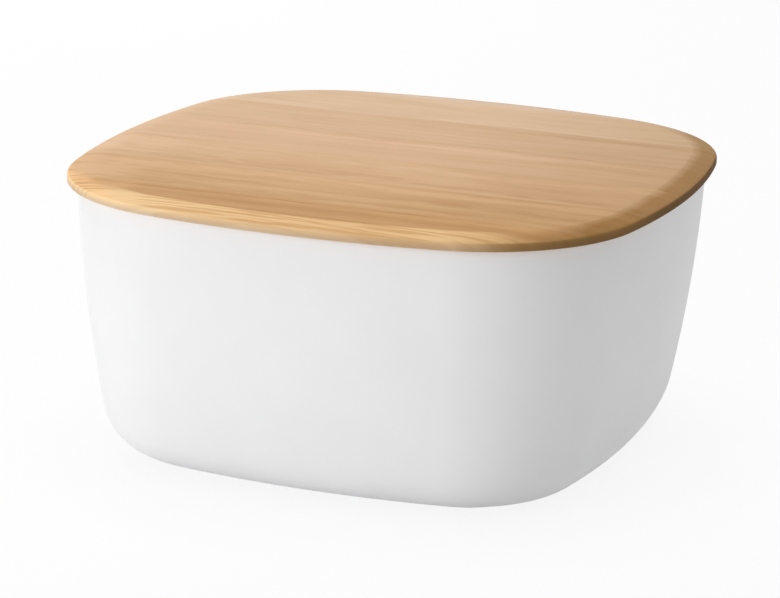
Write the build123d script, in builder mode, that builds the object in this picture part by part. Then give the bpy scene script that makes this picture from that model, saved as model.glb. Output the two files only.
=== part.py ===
from build123d import *
from math import cos, radians, sin, tan
import os

# Bread box: a deep tub, moulded in one piece, under a lid made of glued wooden staves.
# Seen from above both are a square with slightly bowed sides and large corners.
# The origin is the middle of the footprint, +X runs along the grain, +Y to the back, +Z up.

# Plan, at the outside of the tub's rim
rim_length = 333.0         # left to right
rim_width = 333.0          # front to back
side_radius = 504.0        # the bow of each side
corner_radius = 92.5

# Tub
tub_height = 156.0         # from the underside of the floor to the rim
wall = 3.2
floor_thickness = 4.0
wall_lean = 2.0            # degrees off upright, just below the rim
base_set_in = 20.0         # how far the wall has curved in by the level of the underside
base_radius = 30.0         # the wall's turn into the floor
rim_round = 1.1
foot_set_in = 46.0         # from the outside of the rim to the outside of the foot ring
foot_width = 3.5
foot_height = 2.8
foot_chamfer = 0.8

# Lid
lid_overhang = 6.0         # past the tub's rim, all round
edge_height = 5.2          # the upright edge
edge_chamfer = 1.0         # breaks the edge above and below
margin_width = 15.0        # the bowed margin round the flat top
margin_drop = 2.4
margin_slope = 5.0         # degrees, where the margin leaves the flat top
plug_depth = 6.0           # the step under the lid that drops into the tub
plug_gap = 1.5
plug_chamfer = 0.8
stave_count = 7            # all of one width before the outline is cut
front_trim = 7.5           # cut off the first stave
back_trim = 32.5           # cut off the last stave

# Seal, a soft ring in a groove round the plug
groove_depth = 2.0
groove_height = 2.6
groove_drop = 1.8          # from the lid's seat down to the groove
seal_ease = 0.15           # between the ring and the groove
lip_gap = 0.3              # between the relaxed lip and the tub's wall

# Levels, and distances in from the outside of the lid
underside_z = foot_height
floor_z = underside_z + floor_thickness
seat_z = underside_z + tub_height
shoulder_z = seat_z + edge_height
lid_top_z = shoulder_z + margin_drop
plug_z = seat_z - plug_depth
groove_z = seat_z - groove_drop - groove_height
plug_set_in = lid_overhang + wall + plug_gap
groove_set_in = plug_set_in + groove_depth

# How far the swept rings of the tub and of the lid reach in. A flat middle closes each, and overlaps its ring.
tub_reach = max(foot_set_in + foot_width, base_set_in + base_radius) + wall
lid_reach = margin_width + plug_set_in
overlap = wall


def plan(set_in):
    """The rim's outline drawn in by set_in: what four large circles have in common, with round corners"""
    away_x = side_radius - rim_length / 2
    away_y = side_radius - rim_width / 2
    with BuildSketch() as outline:
        with Locations((away_x, 0)):
            Circle(side_radius - set_in)
        for middle in ((-away_x, 0), (0, away_y), (0, -away_y)):
            with Locations(middle):
                Circle(side_radius - set_in, mode=Mode.INTERSECT)
        fillet(outline.vertices(), corner_radius - set_in)
    return outline.sketch


def across(path):
    """The plane across an outline at its first point: its X points out of the outline, and its Y up"""
    return Plane(path @ 0, x_dir=(path % 0).cross(Vector(0, 0, 1)), z_dir=-(path % 0))


# Tub. Its section is drawn with X at 0 on the outside of the rim, and is swept round the rim's outline.
rim_path = plan(0).wire()
lean = (-sin(radians(wall_lean)), -cos(radians(wall_lean)))

with BuildPart() as tub:
    with BuildSketch(across(rim_path)) as tub_section:
        with BuildLine():
            skin = TangentArc((0, seat_z), (-base_set_in, underside_z), tangent=lean)
            Polyline(skin @ 1, (-tub_reach, underside_z), (-tub_reach, seat_z), skin @ 0)
        make_face()
        with BuildLine():
            lining = TangentArc((-wall, seat_z), (-base_set_in - wall, underside_z), tangent=lean)
            Polyline(lining @ 1, (-tub_reach, underside_z), (-tub_reach, seat_z), lining @ 0)
        make_face(mode=Mode.SUBTRACT)
        # floor
        with Locations((-base_set_in - wall / 2, underside_z)):
            Rectangle(tub_reach - base_set_in - wall / 2, floor_thickness, align=(Align.MAX, Align.MIN))
        outer_turn = tub_section.vertices().sort_by_distance((-base_set_in, underside_z))[0]
        fillet(outer_turn, base_radius)
        inner_turn = tub_section.vertices().sort_by_distance((-base_set_in - wall, floor_z))[0]
        fillet(inner_turn, base_radius - wall)
        fillet(tub_section.vertices().group_by(Axis.Y)[-1], rim_round)
        # foot ring
        with Locations((-foot_set_in, 0)):
            Rectangle(foot_width, foot_height + floor_thickness / 2, align=(Align.MAX, Align.MIN))
        chamfer(tub_section.vertices().group_by(Axis.Y)[0], foot_chamfer)
    sweep(path=rim_path)
    with BuildSketch(Plane.XY.offset(underside_z)):
        add(plan(tub_reach - overlap))
    extrude(amount=floor_thickness)
tub.part.label = "tub"

# Lid board, one swept edge and a flat middle. Here X is 0 at the outside of the lid.
lid_path = plan(-lid_overhang).wire()
fall = (cos(radians(margin_slope)), -sin(radians(margin_slope)))

with BuildPart() as lid_board:
    with BuildSketch(across(lid_path)) as lid_section:
        with BuildLine():
            margin = TangentArc((-margin_width, lid_top_z), (-edge_chamfer, shoulder_z), tangent=fall)
            Polyline(margin @ 1, (0, shoulder_z - edge_chamfer), (0, seat_z + edge_chamfer),
                     (-edge_chamfer, seat_z), (-plug_set_in, seat_z), (-plug_set_in, plug_z),
                     (-lid_reach, plug_z), (-lid_reach, lid_top_z), margin @ 0)
        make_face()
        chamfer(lid_section.vertices().sort_by_distance((-plug_set_in, plug_z))[0], plug_chamfer)
        # groove for the seal
        with Locations((-plug_set_in, groove_z)):
            Rectangle(groove_depth, groove_height, align=(Align.MAX, Align.MIN), mode=Mode.SUBTRACT)
    sweep(path=lid_path)
    with BuildSketch(Plane.XY.offset(plug_z)):
        add(plan(lid_reach - overlap - lid_overhang))
    extrude(amount=lid_top_z - plug_z)

# Staves: the board is glued up from equal strips with the grain left to right, joined face to face.
# The outline is cut from that blank, more of it being lost at the back than in front.
blank_front = -rim_width / 2 - lid_overhang - front_trim
blank_back = rim_width / 2 + lid_overhang + back_trim
stave_width = (blank_back - blank_front) / stave_count

staves = []
for number in range(stave_count):
    with BuildPart() as stave:
        add(lid_board.part)
        # the length of the box on either side of the middle is more than the lid has
        with Locations((0, blank_front + number * stave_width, 0)):
            Box(2 * rim_length, stave_width, 2 * lid_top_z,
                align=(Align.CENTER, Align.MIN, Align.MIN), mode=Mode.INTERSECT)
    stave.part.label = f"lid_stave_{number + 1}"
    staves.append(stave.part)

# Seal: a strip that fills the groove, with a round lip towards the tub
lip_z = groove_z + groove_height / 2
lip_set_in = lid_overhang + wall + (seat_z - lip_z) * tan(radians(wall_lean)) + lip_gap

with BuildPart() as seal:
    with BuildSketch(across(lid_path)):
        with BuildLine():
            strip = Polyline((-plug_set_in, groove_z + seal_ease),
                             (-groove_set_in + seal_ease, groove_z + seal_ease),
                             (-groove_set_in + seal_ease, groove_z + groove_height - seal_ease),
                             (-plug_set_in, groove_z + groove_height - seal_ease))
            ThreePointArc(strip @ 1, (-lip_set_in, lip_z), strip @ 0)
        make_face()
    sweep(path=lid_path)
seal.part.label = "lid_seal"

os.makedirs("parts", exist_ok=True)
for piece in (tub.part, *staves, seal.part):
    export_step(piece, f"parts/{piece.label}.step")
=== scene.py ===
from math import atan2, cos, degrees, pi, radians, sin, sqrt, tan

import bmesh
import bpy
import numpy as np
from mathutils import Matrix, Vector


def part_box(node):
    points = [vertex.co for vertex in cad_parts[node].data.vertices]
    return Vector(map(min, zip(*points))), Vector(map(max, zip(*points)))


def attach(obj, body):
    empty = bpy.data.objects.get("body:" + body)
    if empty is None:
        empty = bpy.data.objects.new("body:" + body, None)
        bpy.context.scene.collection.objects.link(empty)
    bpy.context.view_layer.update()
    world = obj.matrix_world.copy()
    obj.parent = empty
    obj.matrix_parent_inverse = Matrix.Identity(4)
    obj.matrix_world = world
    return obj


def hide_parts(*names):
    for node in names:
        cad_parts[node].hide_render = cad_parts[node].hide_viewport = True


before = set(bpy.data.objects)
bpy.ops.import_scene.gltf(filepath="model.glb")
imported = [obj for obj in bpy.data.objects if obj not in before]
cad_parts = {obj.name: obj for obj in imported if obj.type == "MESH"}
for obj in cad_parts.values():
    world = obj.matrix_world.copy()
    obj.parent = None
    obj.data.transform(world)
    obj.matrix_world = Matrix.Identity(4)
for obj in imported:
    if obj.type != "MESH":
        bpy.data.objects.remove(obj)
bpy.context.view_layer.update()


# Tub
# One thick-walled piece of white melamine, pressed in a heated mould. The walls lean out of the mould and
# curve into the floor, the rim is rounded, and a low ring under the floor is all that touches the worktop.
seat_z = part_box("tub")[1].z
wall = 0.0032
underside_z = 0.0028
floor_thickness = 0.004
floor_z = underside_z + floor_thickness
wall_lean = radians(2.0)
base_set_in = 0.020
base_radius = 0.030
rim_round = 0.0011
foot_outside = 0.046
foot_width = 0.0035
foot_round = 0.0008
foot_root = 0.0005
floor_edge = 0.052
floor_ring = 0.004         # a narrow ring that keeps the floor's shading flat
wall_steps = 40
turn_steps = 20
rim_steps = 7
foot_steps = 6
root_steps = 4

# Tub and lid share one outline, a square with bowed sides and large corners, because the mould and the
# router's template are cut to it. Every ring of either piece is this outline drawn in or let out.
lid_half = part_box("lid_stave_4")[1].x
overhang = 0.006           # of the lid past the rim
rim_half = lid_half - overhang
bow_radius = 0.504
corner_radius = 0.0925
corner_middle = 0.0682934  # of the corner's arc, from the middle of the box along both sides
bow_turn = atan2(corner_middle, corner_middle + bow_radius - rim_half)
bow_steps = 22
corner_steps = 44


def facings():
    """The directions that the outline faces, once round: each side turns by twice bow_turn, and each corner
    by the rest of its quarter turn"""
    side = np.linspace(-bow_turn, bow_turn, bow_steps, endpoint=False)
    corner = np.linspace(bow_turn, pi / 2 - bow_turn, corner_steps, endpoint=False)
    quarter = np.concatenate([side, corner])
    return (quarter + pi / 2 * np.arange(4)[:, None]).ravel()


def rim_point(facing):
    """The point of the outline that faces a direction: the middle of its arc, plus the arc's radius that way.
    Within bow_turn of a side's own direction the arc is the side's bow, and elsewhere a corner."""
    rounding_error = 1e-9
    side_facing = np.round(facing / (pi / 2)) * pi / 2
    off_side = facing - side_facing
    on_bow = np.abs(off_side) <= bow_turn + rounding_error
    radius = np.where(on_bow, bow_radius, corner_radius)
    out = np.where(on_bow, rim_half - bow_radius, corner_middle)
    along = np.where(on_bow, 0.0, np.sign(off_side) * corner_middle)
    x = out * np.cos(side_facing) - along * np.sin(side_facing) + radius * np.cos(facing)
    y = out * np.sin(side_facing) + along * np.cos(side_facing) + radius * np.sin(facing)
    return np.stack([x, y], -1)


def swept_round(profile, closed=False):
    """Vertices and faces of a profile carried round the outline. A profile's point is (set-in, height), and
    its place is the outline's point, less the set-in along the direction faced. The two ends of an open
    profile are capped."""
    facing = facings()
    set_in, height = np.asarray(profile, float).T
    outward = np.stack([np.cos(facing), np.sin(facing)], -1)
    plan = rim_point(facing)[:, None] - set_in[None, :, None] * outward[:, None]
    rows, columns = len(facing), len(height)
    points = np.concatenate([plan, np.broadcast_to(height[None, :, None], (rows, columns, 1))], -1)
    row, column = np.mgrid[0:rows, 0:columns if closed else columns - 1]
    next_row, next_column = (row + 1) % rows, (column + 1) % columns
    corners = [row * columns + column, next_row * columns + column,
               next_row * columns + next_column, row * columns + next_column]
    faces = np.stack(corners, -1).reshape(-1, 4).tolist()
    if not closed:
        first = np.arange(rows) * columns
        faces += [first[::-1].tolist(), (first + columns - 1).tolist()]
    return points.reshape(-1, 3), faces


def arc(middle, radius, start, end, steps):
    """Points of an arc in a profile: its middle plus the radius, turned evenly from one angle to the other"""
    turn = np.radians(np.linspace(start, end, steps + 1))
    return np.stack([middle[0] + radius * np.cos(turn), middle[1] + radius * np.sin(turn)], -1)


def wall_line(start_set_in, level, turn_radius):
    """One face of the wall, from the rim down to the floor: a large arc that leaves the rim at the wall's
    lean and would reach the level base_set_in further in, ended early by a smaller arc that meets the level
    flat. The large arc's radius is the drop's length squared, over twice the drop's reach inward."""
    drop = np.array([base_set_in, level - seat_z])
    inward = np.array([cos(wall_lean), sin(wall_lean)])
    radius = drop @ drop / (2 * drop @ inward)
    middle = np.array([start_set_in, seat_z]) + radius * inward
    turn_z = level + turn_radius
    reach = radius - turn_radius
    turn_middle = np.array([middle[0] - sqrt(reach ** 2 - (middle[1] - turn_z) ** 2), turn_z])
    slope = degrees(atan2(turn_middle[1] - middle[1], turn_middle[0] - middle[0])) % 360
    top = degrees(atan2(seat_z - middle[1], start_set_in - middle[0])) % 360
    large = arc(middle, radius, top, slope, wall_steps)
    small = arc(turn_middle, turn_radius, slope, 270, turn_steps)
    return np.concatenate([large, small[1:]])


def tub_profile():
    """From the middle of the floor inside, up the lining, over the rim, down the skin, round the foot ring
    and to the middle of the underside"""
    skin = wall_line(0.0, underside_z, base_radius)
    lining = wall_line(wall, floor_z, base_radius - wall)[::-1]
    rim_z = seat_z - rim_round
    skin_top = skin[skin[:, 1] < rim_z]
    lining_top = lining[lining[:, 1] < rim_z]
    lean_in = rim_round * tan(wall_lean)
    over_lining = arc((wall - rim_round + lean_in, rim_z), rim_round, 0, 90, rim_steps)
    over_skin = arc((rim_round + lean_in, rim_z), rim_round, 90, 180, rim_steps)
    foot_inside = foot_outside + foot_width
    root_z = underside_z - foot_root
    skin_in = skin_top[skin_top[:, 0] < foot_outside - foot_root]
    root_out = arc((foot_outside - foot_root, root_z), foot_root, 90, 0, root_steps)
    foot = np.concatenate([arc((foot_outside + foot_round, foot_round), foot_round, 180, 270, foot_steps),
                           arc((foot_inside - foot_round, foot_round), foot_round, 270, 360, foot_steps)])
    root_in = arc((foot_inside + foot_root, root_z), foot_root, 180, 90, root_steps)
    floor_inside = [(floor_edge + floor_ring, floor_z), (floor_edge, floor_z)]
    floor_under = [(floor_edge, underside_z), (floor_edge + floor_ring, underside_z)]
    return np.concatenate([floor_inside, lining_top, over_lining, over_skin, skin_in, root_out, foot, root_in,
                           floor_under])


class Wire:
    """A socket in a material. Arithmetic on wires and numbers adds the Math nodes that work it out."""

    def __init__(self, tree, socket=None):
        self.tree = tree
        self.socket = socket

    def node(self, kind, settings=None, inputs=None, output=0):
        """Adds a node, sets its settings and then its sockets, to values or wires, and returns one output"""
        node = self.tree.nodes.new(kind)
        for name, value in (settings or {}).items():
            setattr(node, name, value)
        for name, value in (inputs or {}).items():
            if isinstance(value, Wire):
                self.tree.links.new(value.socket, node.inputs[name])
            else:
                node.inputs[name].default_value = value
        return Wire(self.tree, node.outputs[output])

    def maths(self, operation, *values):
        return self.node("ShaderNodeMath", {"operation": operation}, dict(enumerate(values)))

    def __add__(self, other):
        return self.maths("ADD", self, other)

    def __sub__(self, other):
        return self.maths("SUBTRACT", self, other)

    def __rsub__(self, other):
        return self.maths("SUBTRACT", other, self)

    def __mul__(self, other):
        return self.maths("MULTIPLY", self, other)

    def __truediv__(self, other):
        return self.maths("DIVIDE", self, other)

    def __pow__(self, other):
        return self.maths("POWER", self, other)

    def __abs__(self):
        return self.maths("ABSOLUTE", self)

    def larger(self, other):
        return self.maths("MAXIMUM", self, other)

    __radd__ = __add__
    __rmul__ = __mul__

    def step(self, low, high):
        """0 below low and 1 above high, with a smooth rise between"""
        return self.node("ShaderNodeMapRange", {"interpolation_type": "SMOOTHSTEP"},
                         {"Value": self, "From Min": low, "From Max": high})

    def mix(self, first, second):
        """The colour that lies this share of the way from the first colour to the second"""
        return self.node("ShaderNodeMix", {"data_type": "RGBA"}, {0: self, 6: first, 7: second}, output=2)

    def noise(self, place, scale=1.0, detail=2.0):
        """Smooth noise, 0 to 1 about a middle of 0.5, at a place"""
        return self.node("ShaderNodeTexNoise", inputs={"Vector": place, "Scale": scale, "Detail": detail})

    def triple(self, x, y, z):
        """A place put together from its three coordinates"""
        return self.node("ShaderNodeCombineXYZ", inputs={0: x, 1: y, 2: z})


def colour(red, green, blue):
    """The linear colour of three values from 0 to 255 as seen on a screen, by the screen's standard curve"""
    seen = np.array([red, green, blue]) / 255
    linear = np.where(seen > 0.04045, ((seen + 0.055) / 1.055) ** 2.4, seen / 12.92)
    return (*linear.tolist(), 1.0)


def material_start(name):
    """A new material: a wire to build from, its shader node, and the object's own coordinates"""
    material = bpy.data.materials.new(name)
    material.use_nodes = True
    start = Wire(material.node_tree)
    shader = material.node_tree.nodes["Principled BSDF"]
    place = start.node("ShaderNodeTexCoord", output="Object")
    return material, start, shader, place


def feed(node, **inputs):
    """Links wires to a node's sockets, and sets those that are the same all over"""
    for name, value in inputs.items():
        socket = node.inputs[name.replace("_", " ")]
        if isinstance(value, Wire):
            value.tree.links.new(value.socket, socket)
        else:
            socket.default_value = value


def tub_white():
    """White melamine: nearly even in colour, satin, with the faint unevenness that pressing leaves"""
    material, start, shader, place = material_start("tub_white")
    cloud = start.noise(place, scale=14.0, detail=3.0)
    grit = start.noise(place, scale=2600.0)
    swell = start.noise(place, scale=30.0)
    white = cloud.step(0.3, 0.7).mix(colour(243, 243, 244), colour(246, 246, 247))
    relief = swell * 0.6 + grit * 0.05
    normal = start.node("ShaderNodeBump", inputs={"Strength": 0.12, "Distance": 0.0004, "Height": relief})
    feed(shader, Base_Color=white, Roughness=0.40 + cloud * 0.08 + grit * 0.04, IOR=1.5, Normal=normal)
    return material


def new_piece(name, points, faces, material, body, replaced, slot):
    """A smooth object with its faces outward, riding on a body in place of a CAD node"""
    sharpest_smooth = radians(35)
    mesh = bpy.data.meshes.new(name)
    mesh.from_pydata(points, [], faces)
    mesh.update()
    mesh.shade_smooth()
    mesh.set_sharp_from_angle(angle=sharpest_smooth)
    mesh.materials.append(material)
    piece = bpy.data.objects.new(name, mesh)
    bpy.context.scene.collection.objects.link(piece)
    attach(piece, body)
    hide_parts(replaced)


new_piece("tub_moulding", *swept_round(tub_profile()), tub_white(), "tub", "tub", "tub_white")


# Staves
# Strips of pale oak-like wood, glued edge to edge with the grain left to right, then routed to the outline as
# one board. The margin is planed down to a thin rounded edge, and a step with a groove is cut underneath.
lid_top_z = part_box("lid_stave_4")[1].z
plug_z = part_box("lid_stave_4")[0].z
edge_height = 0.0052
shoulder_z = seat_z + edge_height
edge_break = 0.0010
margin_width = 0.015
margin_slope = radians(5.0)
shoulder_round = 0.0020
underedge_round = 0.0010
plug_gap = 0.0015          # between the plug and the tub's wall
plug_set_in = overhang + wall + plug_gap
plug_round = 0.0007
groove_depth = 0.0020
groove_height = 0.0026
groove_drop = 0.0018       # from the seat down to the groove
groove_z = seat_z - groove_drop - groove_height
flat_ring = 0.020          # keeps the shading flat beside the margin
middle_start = 0.048       # from here in, one face closes the top and one the underside
margin_steps = 14
shoulder_steps = 12
underedge_steps = 6
plug_steps = 5
seed_step = 7.3            # between one stave's noise and the next one's


def lid_profile():
    """From the middle of the top, down the margin, round the edge, in along the seat, down the plug, round
    its groove and to the middle of the underside. The margin is an arc that leaves the flat top at
    margin_slope and heads for the edge, until the shoulder's arc takes over. Set-ins count from the lid's
    own edge here."""
    margin_end = np.array([edge_break, shoulder_z])
    chord = margin_end - (margin_width, lid_top_z)
    chord_slope = atan2(-chord[1], -chord[0])
    margin_turn = 2 * (chord_slope - margin_slope)
    margin_radius = np.hypot(*chord) / (2 * sin(margin_turn / 2))
    margin_middle = (margin_width + margin_radius * sin(margin_slope),
                     lid_top_z - margin_radius * cos(margin_slope))
    reach = margin_radius - shoulder_round
    middle_in = margin_middle[0] - shoulder_round
    meeting = 90 + degrees(np.arcsin(middle_in / reach))
    margin = arc(margin_middle, margin_radius, 90 + degrees(margin_slope), meeting, margin_steps)
    shoulder = (shoulder_round, margin_middle[1] + sqrt(reach ** 2 - middle_in ** 2))
    over_shoulder = arc(shoulder, shoulder_round, meeting, 180, shoulder_steps)
    under_edge = arc((underedge_round, seat_z + underedge_round), underedge_round, 180, 270, underedge_steps)
    groove_in = plug_set_in + groove_depth
    groove_top_z = groove_z + groove_height
    plug = [(plug_set_in, seat_z), (plug_set_in, groove_top_z), (groove_in, groove_top_z),
            (groove_in, groove_z), (plug_set_in, groove_z)]
    plug_corner = arc((plug_set_in + plug_round, plug_z + plug_round), plug_round, 180, 270, plug_steps)
    middle_top = [(middle_start, lid_top_z), (flat_ring, lid_top_z)]
    middle_under = [(flat_ring, plug_z), (middle_start, plug_z)]
    return np.concatenate([middle_top, margin, over_shoulder[1:], under_edge, plug, plug_corner,
                           middle_under])


def board_slice(points, faces, front, back):
    """The part of the board between two upright planes across the box, with the cuts closed"""
    whole = bpy.data.meshes.new("board")
    whole.from_pydata(points, [], faces)
    cut = bmesh.new()
    cut.from_mesh(whole)
    bpy.data.meshes.remove(whole)
    for place, direction in ((front, -1), (back, 1)):
        everything = [*cut.verts, *cut.edges, *cut.faces]
        bmesh.ops.bisect_plane(cut, geom=everything, plane_co=(0, place, 0), plane_no=(0, direction, 0),
                               clear_outer=True)
        bmesh.ops.holes_fill(cut, edges=[edge for edge in cut.edges if edge.is_boundary])
    bmesh.ops.recalc_face_normals(cut, faces=cut.faces)
    cut.verts.index_update()
    places = np.array([vertex.co for vertex in cut.verts])
    sides = [[vertex.index for vertex in face.verts] for face in cut.faces]
    cut.free()
    return places, sides


def axes(start, vector):
    """The three coordinates of a vector"""
    return [start.node("ShaderNodeSeparateXYZ", inputs={0: vector}, output=axis) for axis in range(3)]


class Grain:
    """A point of a stave, as wires: where it lies, how its surface tilts, and the figure of the trunk there.
    The trunk's pith runs along X. Noise in the distance from it gives growth of uneven width, drawn out
    along the grain, and finer fibre and flecks, and that distance wavers along the grain. What multiplies a
    coordinate in a noise is its swings a metre. The tilts are the coordinates of the direction faced, and
    the slope runs from 0 where the surface is level to 1 where it is upright."""

    def __init__(self, start, place, pith, seed):
        x, y, z = axes(start, place)
        self.x, self.y, self.z = x, y, z
        self.tilt_x, self.tilt_y, tilt_z = axes(start, start.node("ShaderNodeTexCoord", output="Normal"))
        # the slope stays over 0 on the flat top, because it divides the tilt
        self.slope = (1 - tilt_z * tilt_z).larger(0.0001) ** 0.5
        self.upright = self.slope.step(0.5, 0.9)
        self.to_right = self.tilt_x / self.slope
        self.waver = start.noise(start.triple(x * 9.0 + seed, y * 26.0, z * 26.0), detail=3.0) - 0.5
        self.ripple = start.noise(start.triple(x * 32.0 + seed, y * 30.0, z * 30.0)) - 0.5
        across = y - pith[0] + self.waver * 0.012 + self.ripple * 0.0035
        from_pith = (across * across + (z - pith[1]) ** 2.0) ** 0.5
        self.growth = start.noise(start.triple(x * 8.0 + seed, from_pith * 130.0, seed), detail=4.0)
        self.fibre = start.noise(start.triple(x * 24.0 + seed, from_pith * 900.0, seed), detail=3.0)
        flecks = start.noise(start.triple(x * 90.0, from_pith * 620.0, seed), detail=1.0)
        self.fleck = flecks.step(0.60, 0.74)
        self.cloud = start.noise(start.triple(x * 16.0 + seed, y * 44.0, z * 44.0)) - 0.5
        self.beads = start.noise(start.triple(x * 50.0, y * 170.0, seed), detail=1.0).step(0.32, 0.68)
        off_true = from_pith + x * 0.035
        self.lines = start.noise(start.triple(x * 24.0, off_true * 460.0, seed)).step(0.44, 0.60)


def streaked(share, grain, streaks):
    """The share of dark wood, with the streaks of a stave added. A streak is fullest along its middle, which
    wavers with the grain, and fades to nothing at half its width and at its ends. Beads break it up."""
    end_fade = 0.02
    line = grain.y + grain.waver * 0.007 + grain.ripple * 0.004
    fullness = 0.35 + grain.beads * 1.3
    for begin, end, middle, half_width, depth in streaks:
        off = abs(line - middle)
        begun = grain.x.step(begin - end_fade, begin + end_fade)
        ended = grain.x.step(end - end_fade, end + end_fade)
        share = share + (1 - off.step(0.0, half_width)) * (begun * (1 - ended)) * fullness * depth
    return share


def front_margin(wood, share, grain):
    """The margin's front is lighter, partly as the light wood under the bark, where the growth shows as thin
    lines, and partly as painted light from the front left, which fades to the right and in from the edge. Its
    left corner, which faces that light, is painted lighter, and there the fibres are cut across and show
    their ends."""
    forward = 0 - grain.tilt_y
    leftward = 0 - grain.tilt_x
    right_end = grain.x.step(0.080, 0.135)
    inner_side = grain.y.step(-0.154, -0.134)
    # the forward-facing margin is made lighter: light wood under the bark, and painted light from the front
    # left
    lit_front_side = forward.step(0.05, 0.12) * (1 - right_end * 0.65) * (1 - inner_side)
    front_dark_share = grain.lines * 0.65 + share * 0.35 + grain.x.step(-0.08, 0.0) * 0.25
    sapwood_and_light = front_dark_share.mix(colour(246, 209, 158), colour(215, 169, 117))
    wood = lit_front_side.mix(wood, sapwood_and_light)
    # painted light: the left corner, facing the front-left light, is painted lighter, and the dark lines on
    # it are the cut fibres' ends
    corner = leftward.step(0.07, 0.13) * forward.step(0.07, 0.13) * grain.y.step(-0.168, -0.150)
    wood = (corner * 0.7).mix(wood, colour(246, 200, 144))
    return (corner * grain.lines * 0.35).mix(wood, colour(160, 100, 48))


def upright_edge(wood, grain):
    """The front of the upright edge, with the growth's thin lines, is painted with light and shade: greyer at
    its foot as painted shade, light at its top as a painted highlight, and darker to the right as painted
    shade. Round on the right it is painted shade, a dark brown, more so towards the back."""
    # painted shade that darkens the edge to the right, a painted highlight along its top, and painted shade
    # at its foot
    shade_rightward = grain.x.step(-0.11, 0.08)
    edge_highlight = shade_rightward.mix(colour(252, 220, 172), colour(220, 184, 139))
    edge_shaded_foot = shade_rightward.mix(colour(216, 193, 168), colour(196, 168, 138))
    edge_light_and_grain = grain.z.step(seat_z + 0.0006, seat_z + 0.0044).mix(edge_shaded_foot, edge_highlight)
    edge_light_and_grain = (grain.lines * 0.15).mix(edge_light_and_grain, colour(190, 148, 102))
    at_front = 1 - grain.y.step(-0.10, 0.0)
    wood = (grain.upright * at_front * 0.8).mix(wood, edge_light_and_grain)
    # painted shade, dark brown, where the edge faces right, deeper towards the back
    shade = 0.35 + grain.y.step(-0.11, -0.02) * 0.3
    return (grain.to_right.step(0.4, 1.0) * grain.upright * shade).mix(wood, colour(88, 70, 52))


def painted_shade_by_facing(wood, grain):
    """Painted shade: the wood darkened by the way its surface faces. The margin's right is darkest, from an
    uneven line near the flat top outwards, its back less, and the flat top a little, more of it towards the
    right."""
    # painted shade, strongest on the margin's right where it faces away from the light
    margin_shade = (grain.slope + grain.cloud * 0.10).step(0.05, 0.23)
    right = (grain.to_right.step(0.35, 1.0) * margin_shade).larger(grain.to_right.step(0.2, 0.6) * grain.upright)
    flat_top = grain.x.step(0.0, 0.17) * grain.y.step(-0.135, -0.095) * 0.36
    back = grain.tilt_y.step(0.04, 0.25) * 0.6
    shade_share = (right + flat_top).larger(back)
    shade_passes = (0.57, 0.49, 0.33)  # how much red, green and blue the painted shade leaves
    shaded = wood.node("ShaderNodeVectorMath", {"operation": "MULTIPLY"}, {0: wood, 1: shade_passes})
    return shade_share.mix(wood, shaded)


def stave_wood(number, pith, light, dark, streaks):
    """Pale wood, as dark as its growth, fibre, flecks, cloud and streaks add up to. Flecks are sunk and
    duller."""
    material, start, shader, place = material_start(f"stave_wood_{number}")
    grain = Grain(start, place, pith, number * seed_step)
    share = grain.growth + (grain.fibre - 0.5) * 0.5 + grain.fleck * 0.10 + grain.cloud * 0.6
    share = streaked(share, grain, streaks)
    wood = share.step(-0.1, 1.1).mix(light, dark)
    # painted light on the margin's front and its left corner, with the light wood under the bark
    wood = front_margin(wood, share, grain)
    # painted highlight and painted shade on the upright edge
    wood = upright_edge(wood, grain)
    # painted shade by the way the surface faces, darkest on the margin's right
    wood = painted_shade_by_facing(wood, grain)
    relief = grain.fibre * 0.4 + grain.growth * 0.3 - grain.fleck
    normal = start.node("ShaderNodeBump", inputs={"Strength": 0.25, "Distance": 0.0001, "Height": relief})
    feed(shader, Base_Color=wood, Roughness=0.60 + grain.fleck * 0.1 + grain.fibre * 0.08,
         Specular_IOR_Level=0.04, Normal=normal)
    return material


# Each stave, from the front one to the back one: where its pith lies from front to back and in height, its
# lightest and darkest colour, and its streaks. A streak has its begin and end along the grain, its middle,
# half its width, and how dark it is, or how light where that is below 0.
cuts = [
    ((-0.240, 0.120), colour(208, 163, 113), colour(184, 138, 88), [
        (-0.130, 0.110, -0.129, 0.0020, 0.35),
        (-0.080, 0.110, -0.143, 0.0070, 0.08),
        (-0.130, 0.120, -0.134, 0.0018, -0.10),
        (-0.180, -0.115, -0.130, 0.0350, -1.20),
    ]),
    ((0.060, 0.240), colour(216, 175, 132), colour(195, 151, 104), [
        (0.000, 0.160, -0.080, 0.0060, -0.55),
        (-0.160, 0.160, -0.080, 0.0120, -0.30),
        (0.020, 0.150, -0.100, 0.0080, 0.30),
        (-0.130, -0.050, -0.099, 0.0045, 0.30),
        (-0.170, 0.160, -0.120, 0.0120, 0.20),
        (-0.180, -0.125, -0.105, 0.0350, -0.80),
    ]),
    ((-0.150, 0.060), colour(222, 184, 146), colour(203, 163, 121), [
        (-0.120, 0.030, -0.054, 0.0080, 0.40),
        (-0.160, 0.160, -0.062, 0.0060, 0.35),
        (-0.160, 0.160, -0.028, 0.0120, -0.20),
        (-0.180, -0.130, -0.040, 0.0300, -0.50),
    ]),
    ((0.140, 0.200), colour(223, 186, 151), colour(207, 168, 130), [
        (-0.140, 0.150, 0.0375, 0.0022, 0.45),
        (-0.140, 0.150, 0.028, 0.0050, -0.40),
    ]),
    ((-0.060, 0.180), colour(221, 187, 153), colour(205, 167, 130), [
        (0.000, 0.140, 0.087, 0.0050, 0.40),
        (-0.140, 0.150, 0.044, 0.0020, -0.25),
    ]),
    ((0.260, 0.090), colour(226, 195, 163), colour(210, 177, 142), [
        (-0.020, 0.130, 0.099, 0.0035, -0.35),
    ]),
    ((0.020, 0.220), colour(229, 202, 176), colour(215, 185, 158), []),
]
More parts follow.
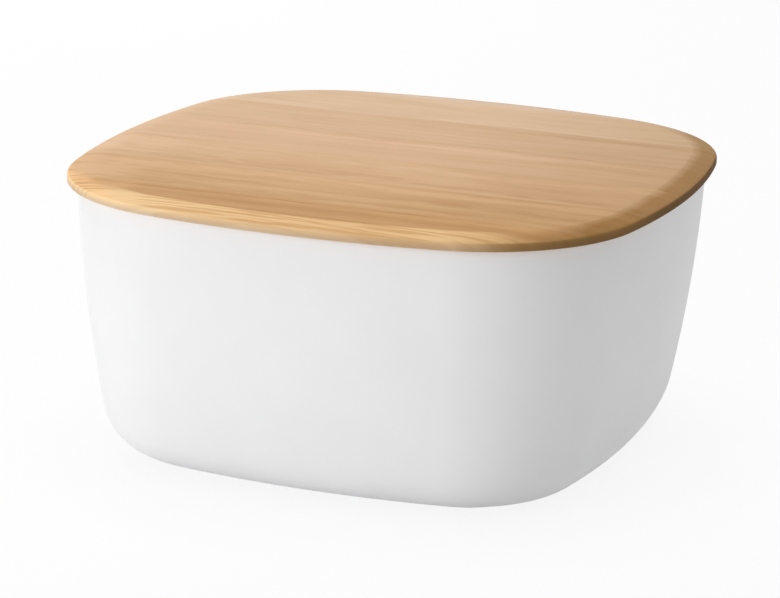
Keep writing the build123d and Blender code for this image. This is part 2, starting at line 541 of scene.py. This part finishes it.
board_points, board_faces = swept_round(lid_profile() - np.array([overhang, 0.0]))
for number, (pith, light, dark, streaks) in enumerate(cuts, start=1):
    low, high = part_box(f"lid_stave_{number}")
    points, faces = board_slice(board_points, board_faces, low.y, high.y)
    new_piece(f"lid_strip_{number}", points, faces, stave_wood(number, pith, light, dark, streaks),
              "lid", f"lid_stave_{number}", "stave_wood")


# Seal
# A ring of soft off-white silicone, pushed into the groove round the plug. Its rounded lip presses lightly on
# the tub's wall when the lid is on. It is drawn relaxed, so the lip stops just short of the wall.
seal_low, seal_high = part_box("lid_seal")
seal_ease = 0.00015
lip_out = lid_half - seal_high.x
lip_z = (seal_low.z + seal_high.z) / 2
lip_steps = 12


def seal_profile():
    """The strip in its groove, and an arc of under half a turn through the lip's crest. Set-ins count from
    the lid's edge."""
    root = plug_set_in + groove_depth - seal_ease
    rise = (seal_high.z - seal_low.z) / 2
    crest = plug_set_in - lip_out
    radius = (crest ** 2 + rise ** 2) / (2 * crest)
    half_turn = degrees(np.arcsin(rise / radius))
    lip = arc((lip_out + radius, lip_z), radius, 180 - half_turn, 180 + half_turn, lip_steps)
    return np.concatenate([[(root, seal_low.z), (root, seal_high.z)], lip])


def seal_soft():
    """Matt silicone with a faint bloom of dust"""
    material, start, shader, place = material_start("seal_soft")
    bloom = start.noise(place, scale=60.0, detail=4.0)
    off_white = bloom.step(0.3, 0.8).mix(colour(226, 225, 221), colour(236, 236, 233))
    feed(shader, Base_Color=off_white, Roughness=0.55 + bloom * 0.2, Subsurface_Weight=0.1)
    return material


seal_points, seal_faces = swept_round(seal_profile() - np.array([overhang, 0.0]), closed=True)
new_piece("seal_ring", seal_points, seal_faces, seal_soft(), "lid", "lid_seal", "seal_soft")


# Floor
# A plain pale surface that runs out of sight. Most of what the camera sees of it is even white, and the rest
# is the lit surface itself, which keeps the soft shadow under the box.
floor_half = 12.0
even_white = 0.88


def seen_directly(start):
    """1 for rays from the camera, also by way of gloss or glass, and 0 for light that falls on the box"""
    camera_ray = start.node("ShaderNodeLightPath", output="Is Camera Ray")
    glossy_ray = start.node("ShaderNodeLightPath", output="Is Glossy Ray")
    transmission_ray = start.node("ShaderNodeLightPath", output="Is Transmission Ray")
    return camera_ray.larger(glossy_ray).larger(transmission_ray)


def pale_floor():
    """Matt near-white, mixed with a white glow that only the camera sees, also in gloss or through glass"""
    material, start, shader, place = material_start("pale_floor")
    near_white = start.noise(place, scale=3.0).mix(colour(238, 238, 238), colour(241, 241, 241))
    feed(shader, Base_Color=near_white, Roughness=0.9)
    surface = Wire(start.tree, shader.outputs[0])
    glow = start.node("ShaderNodeEmission", inputs={"Color": (1, 1, 1, 1), "Strength": 1.0})
    share = seen_directly(start) * even_white
    both = start.node("ShaderNodeMixShader", inputs={0: share, 1: surface, 2: glow})
    feed(start.tree.nodes["Material Output"], Surface=both)
    return material


floor_corners = [(x * floor_half, y * floor_half, 0) for x, y in ((-1, -1), (1, -1), (1, 1), (-1, 1))]
floor_mesh = bpy.data.meshes.new("floor")
floor_mesh.from_pydata(floor_corners, [], [(0, 1, 2, 3)])
floor_mesh.materials.append(pale_floor())
floor = bpy.data.objects.new("floor", floor_mesh)
bpy.context.scene.collection.objects.link(floor)


# Light
# An even room, white to the camera and in reflections, and three soft lamps: a low one at the front left, one
# at the back left, and the strongest overhead.
scene = bpy.context.scene
room_light = 0.40
lamp_aim = Vector((0, 0, 0.1))
world = bpy.data.worlds.new("room")
scene.world = world
world.use_nodes = True
strength = room_light + seen_directly(Wire(world.node_tree)) * (1 - room_light)
feed(world.node_tree.nodes["Background"], Color=(1, 1, 1, 1), Strength=strength)


def lamp(name, place, size, power):
    """A square soft lamp at a place, turned to face the box"""
    light = bpy.data.lights.new(name, "AREA")
    light.shape = "SQUARE"
    light.size = size
    light.energy = power
    holder = bpy.data.objects.new(name, light)
    scene.collection.objects.link(holder)
    holder.location = place
    holder.rotation_euler = (lamp_aim - Vector(place)).to_track_quat("-Z", "Y").to_euler()


lamp("front", (-1.18, -1.72, 0.50), 1.0, 15.0)
lamp("back", (-1.41, 1.59, 0.88), 1.4, 15.0)
lamp("top", (0, 0, 2.3), 1.4, 21.8)


# Camera
# A long lens a little under two metres off, in front of the box and to its right, and looking down on it.
azimuth = radians(20.468)
elevation = radians(15.716)
distance = 1.8627
roll = radians(1.438)
lens = 147.59
sensor_width = 36.0
aim_right = -0.0031
aim_z = 0.0802
right = Vector((cos(azimuth), sin(azimuth), 0))
back = Vector((sin(azimuth) * cos(elevation), -cos(azimuth) * cos(elevation), sin(elevation)))
up = back.cross(right)
camera_data = bpy.data.cameras.new("camera")
camera_data.lens = lens
camera_data.sensor_width = sensor_width
camera = bpy.data.objects.new("camera", camera_data)
scene.collection.objects.link(camera)
place = right * aim_right + Vector((0, 0, aim_z)) + back * distance
level = Matrix((right, up, back)).transposed()
camera.matrix_world = Matrix.Translation(place) @ (level @ Matrix.Rotation(roll, 3, "Z")).to_4x4()
scene.camera = camera
scene.view_settings.view_transform = "Standard"
